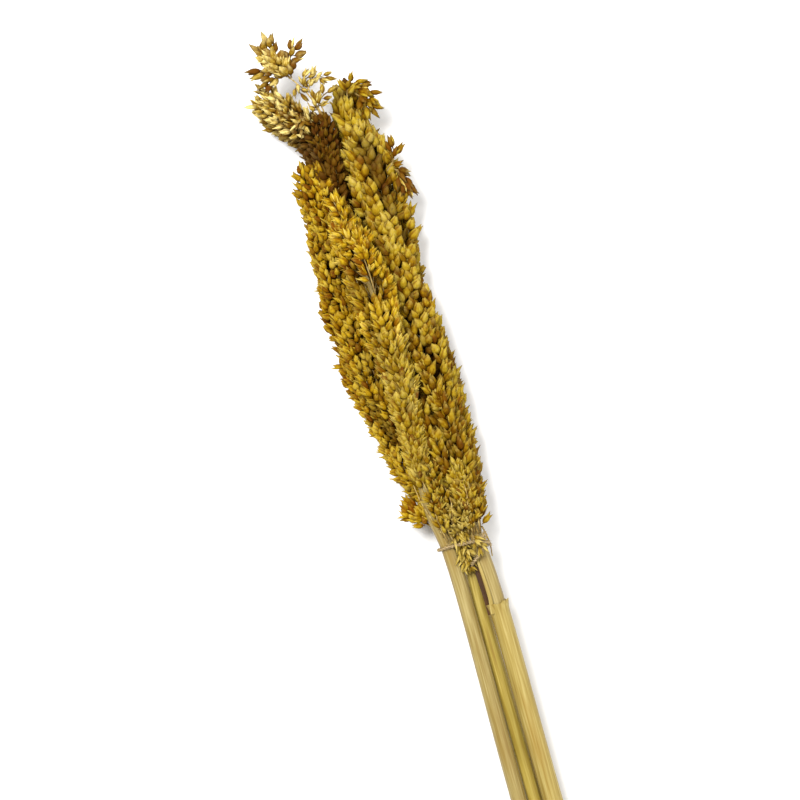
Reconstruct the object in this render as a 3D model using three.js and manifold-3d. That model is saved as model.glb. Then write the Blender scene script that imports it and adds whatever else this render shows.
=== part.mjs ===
import * as THREE from "three";
import { mergeVertices } from "three/addons/utils/BufferGeometryUtils.js";
import Module from "manifold-3d";

// A bunch of three dried sorghum stalks tied with twine, lying on a table.
// Millimetres, +Z up. Y runs along the bunch, from the cut stems to the seed heads, and X across it.
// Every piece is drawn round the tie, at y = 0, with the table at z = 0. At the end the whole group
// is shifted so that the middle of its box is over the origin.

const wasm = await Module();
wasm.setup();

// Driving dimensions.
const gap = 0.35; // clearance between pieces that touch
const up = new THREE.Vector3(0, 0, 1);
const stemSides = 10;
const stemStep = 24; // mm between the rings of a stem
const rachisRadius = 1.5; // the stem inside its seed head
const rachisTipRadius = 0.7;
const cutBevel = 0.5; // rounded edge of a cut end

const headSides = 18;
const branchLobes = 6; // bulges round a head, one for each branch of a tier
const lobeDepth = 0.07;
const valleyDepth = 0.13; // how far a head narrows between two tiers of branches
const crestPlace = 0.6; // where in a tier the branches stand furthest out

// A stalk's line runs from its cut end, past the tie, to the tip of its seed head. The head's outline
// gives its radius at distances along that line, and flat is its height over its width.
const stalkA = {
  line: [
    [22.5, -246, 4.8],
    [14.4, -110, 10.2],
    [10, -32, 14.2],
    [7, 0, 15],
    [4.6, 27, 15.4],
    [2, 58, 15.2],
    [0.8, 88, 14.6],
    [-2.4, 118, 14],
    [-3.2, 160, 13.7],
    [-4, 182, 13.2],
    [-8.4, 205, 12.7],
    [-7.6, 227, 12.2],
  ],
  stemRadius: 4.0,
  rachisEnd: 452,
  outline: [
    [258, 5.6],
    [268, 9.6],
    [300, 13.6],
    [336, 14.2],
    [366, 13.2],
    [430, 13.4],
    [441, 11.6],
    [449, 9],
    [458, 8.4],
    [466, 7.6],
    [471, 5.5],
    [474, 0],
  ],
  tiers: 14,
  flat: 0.94,
};
const stalkB = {
  line: [
    [6, -246, 4.2],
    [-1.2, -110, 10],
    [-7.2, 0, 15],
    [-11.4, 20, 17.6],
    [-12.6, 50, 23],
    [-13, 80, 28],
    [-15, 110, 30.6],
    [-17, 130, 31.2],
    [-19.6, 150, 31],
    [-24, 171, 30],
  ],
  stemRadius: 3.8,
  rachisEnd: 396,
  outline: [
    [282, 4.6],
    [296, 6],
    [316, 6.8],
    [337, 8],
    [357, 10.2],
    [374, 11.8],
    [396, 10.4],
    [411, 6.4],
    [419.6, 0],
  ],
  tiers: 10,
  flat: 0.82,
};
const stalkC = {
  line: [
    [14, -246, 3.9],
    [6, -110, 5.4],
    [1.6, -32, 7.8],
    [0.3, 0, 8.9],
    [-6, 18, 10],
    [-14.5, 40, 11],
    [-21, 65, 11.6],
    [-26.5, 92, 11.8],
    [-29.6, 126, 11.8],
    [-29, 160, 11.8],
    [-24, 182, 12.2],
    [-26, 201, 12.8],
    [-35.4, 210.6, 12.4],
    [-43, 217.8, 11.6],
    [-53.5, 228, 10.8],
  ],
  stemRadius: 3.6,
  rachisEnd: 430,
  outline: [
    [264, 5],
    [274, 9],
    [284, 10.4],
    [318, 12],
    [350, 12.4],
    [414, 12.2],
    [432, 10],
    [447, 10.4],
    [462, 9.8],
    [474, 9],
    [484, 6.4],
    [489, 0],
  ],
  tiers: 15,
  flat: 0.94,
};

// Beside its drooping tip, head C has a rounded shoulder. It is given as a sprig's cluster is.
const shoulder = [[-33.2, 177, 12], [8, 15.5, 9], -6];

// The dry leaf sheath round the stem of stalk A, given by distances along the stalk.
const sheath = {
  from: 1.5,
  to: 217,
  wall: 0.5,
  flare: 1.1, // how far the collar stands out
  flareLength: 7,
};
const dryStrip = {
  line: [
    [4.6, -34, 17.2],
    [3.2, -26, 17.6],
    [2.6, -16, 17.4],
    [2.1, -7, 16.6],
  ],
  halfWidth: 0.9,
  flat: 0.45,
};

const twine = {
  radius: 0.85,
  sides: 6,
  turnSteps: 36,
  endSteps: 8,
  startAngle: 62, // degrees round the stems, from +X towards +Z, where the knot sits
  startY: 1.1,
  turnDrop: 2.7, // how far along the bunch one turn moves
  end: [
    [7.6, -4.4, 21],
    [4.6, -7, 20.2],
    [2.4, -9, 17.6],
    [1.6, -10.4, 15],
  ],
};
const knot = {
  size: [1.7, 1.5, 1.5],
  tailRadius: 0.7,
  tails: [
    [
      [0, 0, 0],
      [1.9, -1.7, 0.3],
      [3.3, -4.2, -1.6],
    ],
    [
      [0, 0, 0],
      [0.6, 1.9, 0.9],
      [1.9, 3.6, 0.6],
    ],
  ],
};

// A sprig is thin twigs with spikelet clusters: each cluster gives its middle, its half sizes and
// the way it points in the table's plane, in degrees from +Y towards -X.
const twigSides = 6;
const sprigs = {
  loose_sprig: {
    twigs: [
      [
        [-20, 203, 22],
        [-22.8, 215.6, 24],
        [-26.4, 224.4, 24.6],
        [-32.4, 232.4, 24.6],
        [-38.6, 240.4, 24],
        [-44, 248, 22.6],
      ],
      [
        [-22.8, 215.6, 24],
        [-20.4, 221.4, 25],
        [-17, 224.6, 25],
      ],
      [
        [-26.4, 224.4, 24.6],
        [-22.4, 229.4, 25],
        [-17.6, 231.4, 25],
      ],
    ],
    twigRadius: 0.7,
    clusters: [
      [[-40.4, 244, 23.4], [7, 10.5, 4.6], 42],
      [[-31, 231.4, 24.4], [3.4, 7, 3.2], 42],
      [[-18.6, 230.6, 25], [3.2, 5.6, 3], -50],
      [[-19, 222.4, 25], [2.8, 5.4, 2.8], -45],
    ],
  },
  top_sprig: {
    twigs: [
      [
        [-5, 214, 20.4],
        [-3.6, 223.4, 22],
        [0.6, 225.4, 22.2],
        [5, 219.4, 21],
      ],
    ],
    twigRadius: 0.6,
    clusters: [[[1.4, 221.4, 21.6], [3.2, 7.6, 2.8], 40]],
  },
  hanging_sprig: {
    twigs: [
      [
        [6, 181, 19],
        [8.6, 178.6, 20.2],
        [10.8, 170.6, 19.4],
      ],
    ],
    twigRadius: 0.6,
    clusters: [[[10.4, 172, 19.6], [2.2, 5.2, 2.2], 191]],
  },
  stray_cluster: {
    twigs: [
      [
        [-10.4, 8.4, 9.6],
        [-14.6, 13.5, 11],
        [-19.6, 19, 12],
      ],
    ],
    twigRadius: 0.8,
    clusters: [[[-20.2, 19.6, 12], [4.6, 6.8, 4.4], 40]],
  },
  base_tuft: {
    twigs: [
      [
        [-3.6, 18, 17.8],
        [-2, 6, 17.2],
        [-0.6, -8, 15],
      ],
      [
        [1.6, 11, 18.4],
        [4.4, 4.6, 21.8],
        [6.2, -0.6, 22.6],
      ],
    ],
    twigRadius: 0.8,
    clusters: [
      [[-0.4, 13, 18], [5.2, 8, 3], 12],
      [[-0.9, -5.4, 15.6], [2.1, 6, 2], 8],
      [[6, -0.6, 22.7], [2.2, 3.4, 1.2], 40],
    ],
  },
  side_tuft: {
    twigs: [
      [
        [9.6, 5, 14.4],
        [11.6, 11, 14.8],
        [12.8, 18, 14.8],
      ],
    ],
    twigRadius: 0.7,
    clusters: [[[12.6, 14.6, 14.8], [2.2, 6, 2.4], -12]],
  },
};

const paint = {
  straw: { color: "#cfb679", roughness: 0.6 },
  paleStraw: { color: "#d8c48c", roughness: 0.7 },
  olive: { color: "#a88a34", roughness: 0.7 },
  gold: { color: "#c69a2c", roughness: 0.7 },
  ochre: { color: "#9c7a2c", roughness: 0.7 },
  rust: { color: "#8a5a22", roughness: 0.75 },
  twine: { color: "#b49b7f", roughness: 0.9 },
};

const vector = (point) => new THREE.Vector3(...point);
const curveThrough = (line) => new THREE.CatmullRomCurve3(line.map(vector), false, "centripetal");

// A shape turned about Y from a profile of [radius, y], with its seam and its poles closed.
function turned(profile, sides) {
  const shape = new THREE.LatheGeometry(
    profile.map(([radius, y]) => new THREE.Vector2(radius, y)),
    sides,
  );
  shape.deleteAttribute("normal");
  shape.deleteAttribute("uv");
  return mergeVertices(shape);
}

// Lays a turned shape along a curve: its y becomes the distance from the curve's start.
function laidAlong(shape, curve, flat = 1) {
  const spots = shape.attributes.position;
  const length = curve.getLength();
  for (let i = 0; i < spots.count; i++) {
    const t = THREE.MathUtils.clamp(spots.getY(i) / length, 0, 1);
    const forward = curve.getTangentAt(t);
    const side = forward.clone().cross(up).normalize();
    const over = side.clone().cross(forward);
    const spot = curve.getPointAt(t);
    spot.addScaledVector(side, spots.getX(i));
    spot.addScaledVector(over, spots.getZ(i) * flat);
    spots.setXYZ(i, spot.x, spot.y, spot.z);
  }
  return shape;
}

function solidOf(shape) {
  return new wasm.Manifold(
    new wasm.Mesh({
      numProp: 3,
      vertProperties: new Float32Array(shape.attributes.position.array),
      triVerts: new Uint32Array(shape.index.array),
    }),
  );
}

// Cuts other solids out of one and keeps its largest body, without the slivers that a cut can leave.
function cutBy(solid, others) {
  const sliver = 0.02;
  const rest = others.reduce((left, other) => left.subtract(other), solid).simplify(sliver);
  const bodies = rest.decompose();
  return bodies.reduce((best, body) => (body.volume() > best.volume() ? body : best));
}

const joined = (solids) => solids.reduce((all, solid) => all.add(solid));

// The value at a distance, on straight lines between the [distance, value] points of an outline.
function outlineAt(outline, distance) {
  const next = outline.findIndex(([place]) => place >= distance);
  if (next <= 0) return outline.at(next === 0 ? 0 : -1)[1];
  const [before, after] = [outline[next - 1], outline[next]];
  return THREE.MathUtils.mapLinear(distance, before[0], after[0], before[1], after[1]);
}

// A stem is round and slightly tapered up to its head, and goes on inside it as the thin rachis.
function stem(stalk, grow = 0) {
  const headStart = stalk.outline[0][0];
  const taper = [
    [0, stalk.stemRadius],
    [headStart - 20, stalk.stemRadius * 0.94],
    [headStart + 20, rachisRadius * 1.6],
    [headStart + 70, rachisRadius],
    [stalk.rachisEnd, rachisTipRadius],
  ];
  const rings = Math.round(stalk.rachisEnd / stemStep);
  const profile = [
    [0, 0],
    [taper[0][1] + grow - cutBevel, 0],
    [taper[0][1] + grow, cutBevel],
  ];
  for (let i = 1; i <= rings; i++) {
    const distance = (stalk.rachisEnd * i) / rings;
    profile.push([outlineAt(taper, distance) + grow, distance]);
  }
  profile.push([0, stalk.rachisEnd + grow]);
  return solidOf(laidAlong(turned(profile, stemSides), curveThrough(stalk.line)));
}

// A seed head is tiers of branches round the rachis, each tier a ring of bulges that stand between
// the bulges of the tier below.
function head(stalk, grow = 0) {
  const { outline, tiers, flat } = stalk;
  const from = outline[0][0];
  const to = outline.at(-1)[0];
  const pitch = (to - from) / tiers;
  const profile = [[0, from - grow]];
  for (let tier = 0; tier < tiers; tier++) {
    const valley = from + pitch * tier;
    const crest = valley + pitch * crestPlace;
    profile.push([outlineAt(outline, valley) * (1 - valleyDepth) + grow, valley]);
    profile.push([outlineAt(outline, crest) + grow, crest]);
  }
  profile.push([0, to + grow]);
  const shape = turned(profile, headSides);
  const spots = shape.attributes.position;
  for (let i = 0; i < spots.count; i++) {
    const angle = Math.atan2(spots.getX(i), spots.getZ(i));
    const tier = Math.floor((spots.getY(i) - from) / pitch);
    const swell = 1 + lobeDepth * Math.cos(branchLobes * angle + tier * Math.PI);
    spots.setX(i, spots.getX(i) * swell);
    spots.setZ(i, spots.getZ(i) * swell);
  }
  return solidOf(laidAlong(shape, curveThrough(stalk.line), flat));
}

// The leaf sheath is a thin sleeve on the stem that ends in a flared collar.
function leafSheath(grow = 0) {
  const inside = stalkA.stemRadius + gap - grow;
  const outside = stalkA.stemRadius + gap + sheath.wall + grow;
  const collar = sheath.to - sheath.flareLength;
  const wallProfile = [
    [inside, sheath.from],
    [outside, sheath.from],
    [outside, sheath.to * 0.33],
    [outside, sheath.to * 0.66],
    [outside, collar],
    [outside + sheath.flare * 0.4, sheath.to - 2],
    [outside + sheath.flare, sheath.to],
    [inside + sheath.flare, sheath.to],
    [inside, collar],
    [inside, sheath.to * 0.66],
    [inside, sheath.to * 0.33],
    [inside, sheath.from],
  ];
  return solidOf(laidAlong(turned(wallProfile, stemSides), curveThrough(stalkA.line)));
}

// A thin round or flattened rod along a line, closed at both ends.
function rod(line, radius, sides, flat = 1) {
  const curve = curveThrough(line);
  const length = curve.getLength();
  const rings = 6;
  const profile = [[0, 0]];
  for (let i = 0; i <= rings; i++) profile.push([radius, (length * i) / rings]);
  profile.push([0, length]);
  return solidOf(laidAlong(turned(profile, sides), curve, flat));
}

function cluster([middle, size, turn], grow = 0) {
  const shape = new THREE.SphereGeometry(1, 8, 6);
  shape.deleteAttribute("normal");
  shape.deleteAttribute("uv");
  shape.scale(...size.map((half) => half + grow));
  shape.rotateZ(THREE.MathUtils.degToRad(turn));
  shape.translate(...middle);
  return solidOf(mergeVertices(shape));
}

function sprig({ twigs, twigRadius, clusters }, grow = 0) {
  return joined([
    ...twigs.map((line) => rod(line, twigRadius + grow, twigSides)),
    ...clusters.map((one) => cluster(one, grow)),
  ]);
}

// Where a taut loop touches the stems at the tie, for a direction round them.
function loopPoint(angle, y) {
  const stems = [stalkA, stalkB, stalkC].map((stalk) => ({
    middle: vector(stalk.line.find(([, place]) => place === 0)),
    reach: stalk.stemRadius + gap + twine.radius,
  }));
  const out = new THREE.Vector3(Math.cos(angle), 0, Math.sin(angle));
  const far = stems.map(({ middle, reach }) => middle.dot(out) + reach);
  const { middle, reach } = stems[far.indexOf(Math.max(...far))];
  return middle.clone().addScaledVector(out, reach).setY(y);
}

// One turn round all three stems, then a last stretch over the right stem and down between the stems.
function twineCurve() {
  const points = [];
  const start = THREE.MathUtils.degToRad(twine.startAngle);
  for (let i = 0; i <= twine.turnSteps; i++) {
    const turn = i / twine.turnSteps;
    points.push(loopPoint(start + turn * 2 * Math.PI, twine.startY - turn * twine.turnDrop));
  }
  const apart = points.filter((point, i) => i === 0 || point.distanceTo(points[i - 1]) > 0.5);
  return new THREE.CatmullRomCurve3([...apart, ...twine.end.map(vector)], false, "centripetal");
}

function twineLoop(grow = 0) {
  const radius = twine.radius + grow;
  const section = new THREE.Shape(
    Array.from({ length: twine.sides }, (_, i) => {
      const angle = (i / twine.sides) * 2 * Math.PI;
      return new THREE.Vector2(Math.cos(angle), Math.sin(angle)).multiplyScalar(radius);
    }),
  );
  const rope = new THREE.ExtrudeGeometry(section, {
    extrudePath: twineCurve(),
    steps: twine.turnSteps + twine.endSteps,
    bevelEnabled: false,
  });
  rope.deleteAttribute("normal");
  rope.deleteAttribute("uv");
  return solidOf(mergeVertices(rope));
}

function twineKnot() {
  const middle = twineCurve().getPoint(0);
  middle.z += twine.radius;
  const body = cluster([middle.toArray(), knot.size, 0]);
  const tails = knot.tails.map((line) =>
    rod(line.map((point) => vector(point).add(middle).toArray()), knot.tailRadius, twigSides),
  );
  return joined([body, ...tails]);
}

const bunch = new THREE.Group();

function place(name, solid, look) {
  const { vertProperties, triVerts } = solid.getMesh();
  const shape = new THREE.BufferGeometry();
  shape.setAttribute("position", new THREE.BufferAttribute(vertProperties, 3));
  shape.setIndex(new THREE.BufferAttribute(triVerts, 1));
  shape.computeVertexNormals();
  const mesh = new THREE.Mesh(shape, new THREE.MeshStandardMaterial({ metalness: 0, ...look }));
  mesh.name = name;
  bunch.add(mesh);
}

// The stems come first. Each later piece is cut back by the ones before it, as grown heads press
// into each other, with the gap left between them.
const stems = [stalkA, stalkB, stalkC].map((stalk) => stem(stalk, gap));
const looseStems = [leafSheath(gap), ...stems];
place("stalk_a_stem", stem(stalkA), paint.straw);
place("stalk_b_stem", stem(stalkB), paint.straw);
place("stalk_c_stem", stem(stalkC), paint.straw);
place("leaf_sheath", leafSheath(), paint.paleStraw);
place("twine_loop", twineLoop(), paint.twine);
place("twine_knot", cutBy(twineKnot(), [...looseStems, twineLoop(gap)]), paint.twine);

const headA = head(stalkA, gap);
const headB = head(stalkB, gap);
const shoulderedHead = (grow) => joined([head(stalkC, grow), cluster(shoulder, grow)]);
const headC = shoulderedHead(gap);
place("head_a", cutBy(head(stalkA), stems), paint.olive);
place("head_b", cutBy(head(stalkB), [...stems, headA]), paint.gold);
place("head_c", cutBy(shoulderedHead(0), [...stems, headA, headB]), paint.ochre);

const sheathStrip = (grow) => rod(dryStrip.line, dryStrip.halfWidth + grow, twigSides, dryStrip.flat);
place("dry_strip", cutBy(sheathStrip(0), [...looseStems, twineLoop(gap)]), paint.paleStraw);

const sprigLooks = {
  loose_sprig: paint.gold,
  top_sprig: paint.rust,
  hanging_sprig: paint.rust,
  stray_cluster: paint.gold,
  base_tuft: paint.paleStraw,
  side_tuft: paint.ochre,
};
const firm = [...looseStems, twineLoop(gap), sheathStrip(gap), headA, headB, headC];
for (const [name, look] of Object.entries(sprigLooks)) {
  place(name, cutBy(sprig(sprigs[name]), firm), look);
}

const box = new THREE.Box3().setFromObject(bunch);
const middle = box.getCenter(new THREE.Vector3());
bunch.position.set(-middle.x, -middle.y, -box.min.z);

export default bunch;
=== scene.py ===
import math
import random

import bpy
import numpy as np
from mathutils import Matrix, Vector


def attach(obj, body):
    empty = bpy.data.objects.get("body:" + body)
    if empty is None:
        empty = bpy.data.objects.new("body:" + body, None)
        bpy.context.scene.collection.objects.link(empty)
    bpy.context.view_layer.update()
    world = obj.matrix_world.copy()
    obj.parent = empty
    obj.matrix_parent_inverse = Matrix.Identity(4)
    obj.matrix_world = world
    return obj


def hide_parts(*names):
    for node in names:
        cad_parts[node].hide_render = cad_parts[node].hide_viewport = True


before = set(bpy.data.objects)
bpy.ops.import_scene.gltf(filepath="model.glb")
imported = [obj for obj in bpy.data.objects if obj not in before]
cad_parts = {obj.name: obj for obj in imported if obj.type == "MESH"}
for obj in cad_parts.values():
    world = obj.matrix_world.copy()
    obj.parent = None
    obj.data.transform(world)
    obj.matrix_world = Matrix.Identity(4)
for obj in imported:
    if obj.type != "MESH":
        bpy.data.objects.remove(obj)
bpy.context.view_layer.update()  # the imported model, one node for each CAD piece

# A bunch of three dried sorghum stalks tied with twine, lying on a table.
# Lengths in the dictionaries are in millimetres from the tie, with +Y towards the seed heads.
mm = 0.001
up = np.array((0.0, 0.0, 1.0))
goldenAngle = math.radians(137.508)

stalkA = {
    "line": [(22.5, -246, 4.8), (14.4, -110, 10.2), (10, -32, 14.2), (7, 0, 15), (4.6, 27, 15.4),
             (2, 58, 15.2), (0.8, 88, 14.6), (-2.4, 118, 14), (-3.2, 160, 13.7), (-4, 182, 13.2),
             (-8.4, 205, 12.7), (-7.6, 227, 12.2)],
    "outline": [(254, 5.0), (268, 9.6), (300, 13.6), (336, 14.2), (366, 13.2), (430, 13.4), (441, 11.6),
                (449, 9), (458, 8.4), (466, 7.6), (471, 5.5), (474, 0)],
    "flat": 0.94,
    "stemRadius": 4.0,
    "rachisEnd": 462,
}
stalkB = {
    "line": [(6, -246, 4.2), (-1.2, -110, 10), (-7.2, 0, 15), (-11.4, 20, 17.6), (-12.6, 50, 23),
             (-13, 80, 28), (-15, 110, 30.6), (-17, 130, 31.2), (-19.6, 150, 31), (-24, 171, 30)],
    "outline": [(276, 4.6), (296, 6), (316, 6.8), (337, 8), (357, 10.2), (374, 11.8), (392, 11), (405, 8.2),
                (414, 5), (419.6, 0)],
    "flat": 0.82,
    "stemRadius": 3.8,
    "rachisEnd": 414,
}
stalkC = {
    "line": [(14, -246, 3.9), (6, -110, 5.4), (1.6, -32, 7.8), (0.3, 0, 8.9), (-6, 18, 10), (-14.5, 40, 11),
             (-21, 65, 11.6), (-26.5, 92, 11.8), (-29.6, 126, 11.8), (-29, 160, 11.8), (-24, 182, 12.2),
             (-26, 201, 12.8), (-35.4, 210.6, 12.4), (-43, 217.8, 11.6), (-53.5, 228, 10.8)],
    "outline": [(260, 5), (272, 9), (284, 10.4), (318, 12), (350, 12.4), (414, 12.2), (432, 10), (447, 10.4),
                (462, 9.8), (474, 9), (484, 6.4), (489, 0)],
    "flat": 0.94,
    "stemRadius": 3.9,
    "rachisEnd": 484,
}


# The middle of a stem's cut end.
def cutEnd(node):
    spots = np.array([v.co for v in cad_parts[node].data.vertices])
    end = spots[spots[:, 1] < spots[:, 1].min() + 0.6 * mm]
    return (end.min(0) + end.max(0)) / 2


tie = cutEnd("stalk_b_stem") - np.array(stalkB["line"][0]) * mm  # where the tie's origin lies in the frame


def unit(vector):
    return vector / max(np.linalg.norm(vector), 1e-12)


def inFrame(points):
    return np.array(points, float) * mm + tie


def between(place, places, spots):
    return np.array([np.interp(place, places, spots[:, i]) for i in range(3)])


# A smooth line through points, measured by the distance along it. Everything in metres.
class Route:
    def __init__(self, points, step=0.5 * mm):
        points = np.array(points, float)
        before = 2 * points[0] - points[1]
        after = 2 * points[-1] - points[-2]
        knots = np.vstack([before, points, after])
        spots = []
        for p0, p1, p2, p3 in zip(knots, knots[1:], knots[2:], knots[3:]):
            t1 = np.linalg.norm(p1 - p0) ** 0.5
            t2 = t1 + np.linalg.norm(p2 - p1) ** 0.5
            t3 = t2 + np.linalg.norm(p3 - p2) ** 0.5
            count = max(2, int(np.linalg.norm(p2 - p1) / step))
            for t in np.linspace(t1, t2, count, endpoint=False):
                a1 = (t1 - t) / t1 * p0 + t / t1 * p1
                a2 = (t2 - t) / (t2 - t1) * p1 + (t - t1) / (t2 - t1) * p2
                a3 = (t3 - t) / (t3 - t2) * p2 + (t - t2) / (t3 - t2) * p3
                b1 = (t2 - t) / t2 * a1 + t / t2 * a2
                b2 = (t3 - t) / (t3 - t1) * a2 + (t - t1) / (t3 - t1) * a3
                spots.append((t2 - t) / (t2 - t1) * b1 + (t - t1) / (t2 - t1) * b2)
        spots.append(points[-1])
        self.spots = np.array(spots)
        steps = np.linalg.norm(np.diff(self.spots, axis=0), axis=1)
        self.places = np.concatenate([[0], np.cumsum(steps)])
        self.length = self.places[-1]

    def at(self, distance):
        return between(distance, self.places, self.spots)

    def forward(self, distance):
        reach = 1.5 * mm
        return unit(self.at(min(distance + reach, self.length)) - self.at(max(distance - reach, 0)))

    # The directions across the line and up from it.
    def sides(self, distance):
        forward = self.forward(distance)
        side = unit(np.cross(forward, up))
        return side, np.cross(side, forward)


for stalk in (stalkA, stalkB, stalkC):
    stalk["route"] = Route(inFrame(stalk["line"]))


def outlineAt(outline, distance):
    places, radii = zip(*outline)
    return float(np.interp(distance / mm, places, radii)) * mm


print("the frame is in, and the stalks' lines are laid")

# Spikelets. Each model is two glumes closed round a grain, on a short stalk, with its base at the origin and
# its tip along +Z. Lengths are in millimetres, and the rest are shares: tip is the width just below the tip,
# seam how far the sides draw in between the glumes, keel how far a glume's middle stands out, and gape how
# far the glumes' tips part.
spikelets = {
    "plump": {"length": 5.5, "width": 4.2, "thick": 3.7, "stalk": 1.2, "tip": 0.34, "seam": 0.84,
              "keel": 1.1, "gape": 0.15},
    "long": {"length": 6.6, "width": 3.2, "thick": 2.8, "stalk": 1.5, "tip": 0.3, "seam": 0.82,
             "keel": 1.14, "gape": 0.35},
    "open": {"length": 6.0, "width": 3.6, "thick": 3.6, "stalk": 1.5, "tip": 0.5, "seam": 0.72,
             "keel": 1.12, "gape": 1.0},
    "chaff": {"length": 5.8, "width": 1.5, "thick": 0.9, "stalk": 1.2, "tip": 0.3, "seam": 0.9,
              "keel": 1.2, "gape": 0.0},
}
# A spikelet's width at places along it.
huskRings = [(0.0, 0.2), (0.1, 0.6), (0.28, 0.93), (0.5, 1.0), (0.72, 0.76), (0.9, 1.0)]


def selectNothing():
    bpy.ops.object.select_all(action="DESELECT")


def editAll():
    bpy.ops.object.mode_set(mode="EDIT")
    bpy.ops.mesh.select_all(action="SELECT")


# Ends edit mode with every face pointing out.
def endWithFacesOut():
    bpy.ops.mesh.select_all(action="SELECT")
    bpy.ops.mesh.normals_make_consistent(inside=False)
    bpy.ops.object.mode_set(mode="OBJECT")


def onlyThis(thing):
    selectNothing()
    thing.select_set(True)
    bpy.context.view_layer.objects.active = thing


# In edit mode, scales and moves the vertices whose place passes the test.
def reshape(thing, test, scale=(1, 1, 1), move=0.0, level=0.0):
    bpy.ops.mesh.select_all(action="DESELECT")
    bpy.ops.object.mode_set(mode="OBJECT")
    for vertex in thing.data.vertices:
        vertex.select = bool(test(vertex.co))
    bpy.ops.object.mode_set(mode="EDIT")
    bpy.ops.transform.resize(value=scale, center_override=(0, 0, level))
    bpy.ops.transform.translate(value=(0, 0, move))


def modelSpikelet(name, look):
    rings = len(huskRings) + 1
    near, clear = 0.02, 0.05  # what counts as on a plane, and as off it
    aside = 10  # shaped rings wait this far up, so that no two mix
    gape = look["gape"]
    selectNothing()
    bpy.ops.mesh.primitive_uv_sphere_add(segments=8, ring_count=rings, radius=1)
    husk = bpy.context.active_object
    husk.name = name
    bpy.ops.object.mode_set(mode="EDIT")
    bpy.ops.mesh.select_mode(type="VERT")
    for i, (place, spread) in enumerate(huskRings):
        level = -math.cos(math.pi * (i + 1) / rings)
        if i == len(huskRings) - 1:
            spread = look["tip"]
        spread /= math.sin(math.pi * (i + 1) / rings)
        reshape(husk, lambda co: abs(co.z - level) < near, (spread, spread, 1), aside + place - level, level)
    stalkEnd = aside + 1 - look["stalk"] / look["length"]
    reshape(husk, lambda co: abs(co.z + 1) < near, move=stalkEnd)
    reshape(husk, lambda co: abs(co.z - 1) < near, move=aside - 0.3 * gape)  # the grain's top
    reshape(husk, lambda co: True, move=-aside)
    seam = lambda co: abs(co.y) < near and abs(co.x) > clear  # between the two glumes
    keel = lambda co: abs(co.x) < near and abs(co.y) > clear  # down the middle of each glume
    tipPlace = huskRings[-1][0] - clear
    reshape(husk, seam, (look["seam"], 1, 1))
    reshape(husk, keel, (1, look["keel"], 1))
    reshape(husk, lambda co: co.z > tipPlace and keel(co), (1, 1 + 0.5 * gape, 1), 0.12 + 0.16 * gape)
    reshape(husk, lambda co: tipPlace < co.z < 0.95 and seam(co), move=-0.16 * gape)
    reshape(husk, lambda co: True, (look["width"] / 2 * mm, look["thick"] / 2 * mm, look["length"] * mm))
    endWithFacesOut()
    return asModel(husk)


# Takes a modelled shape as arrays, to be copied many times, and removes the original.
def asModel(thing):
    mesh = thing.data
    spots = np.array([v.co for v in mesh.vertices])
    widest = abs(spots[:, 0]).max()
    model = {
        "spots": spots,
        "along": (spots[:, 2] - spots[:, 2].min()) / max(np.ptp(spots[:, 2]), 1e-9),
        "seam": ((abs(spots[:, 1]) < 0.02 * widest) & (abs(spots[:, 0]) > 0.15 * widest)).astype(float),
        "corners": np.array([i for face in mesh.polygons for i in face.vertices]),
        "sizes": np.array([len(face.vertices) for face in mesh.polygons]),
    }
    bpy.data.objects.remove(thing, do_unlink=True)
    return model


# A straight twig of radius 1 and length 1, closed at both ends.
def modelTwig(sides, rings):
    selectNothing()
    bpy.ops.mesh.primitive_circle_add(vertices=sides, radius=1, fill_type="NGON")
    twig = bpy.context.active_object
    editAll()
    for i in range(rings - 1):
        bpy.ops.mesh.extrude_region_move(TRANSFORM_OT_translate={"value": (0, 0, 1 / (rings - 1))})
    endWithFacesOut()
    return asModel(twig)


models = {name: modelSpikelet(name, look) for name, look in spikelets.items()}
twigModel = modelTwig(5, 9)
hairModel = modelTwig(3, 5)
print("the spikelets and twigs are modelled")

tableGap = 0.15 * mm  # how near the table a spikelet may come


# Gives each vertex of a mesh its values, under a name that the materials read.
def addValues(mesh, name, kind, rows):
    field = {"FLOAT": "value", "FLOAT_VECTOR": "vector", "FLOAT_COLOR": "color"}[kind]
    values = mesh.attributes.new(name, kind, "POINT")
    values.data.foreach_set(field, np.concatenate(rows).astype(np.float32).ravel())


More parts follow.
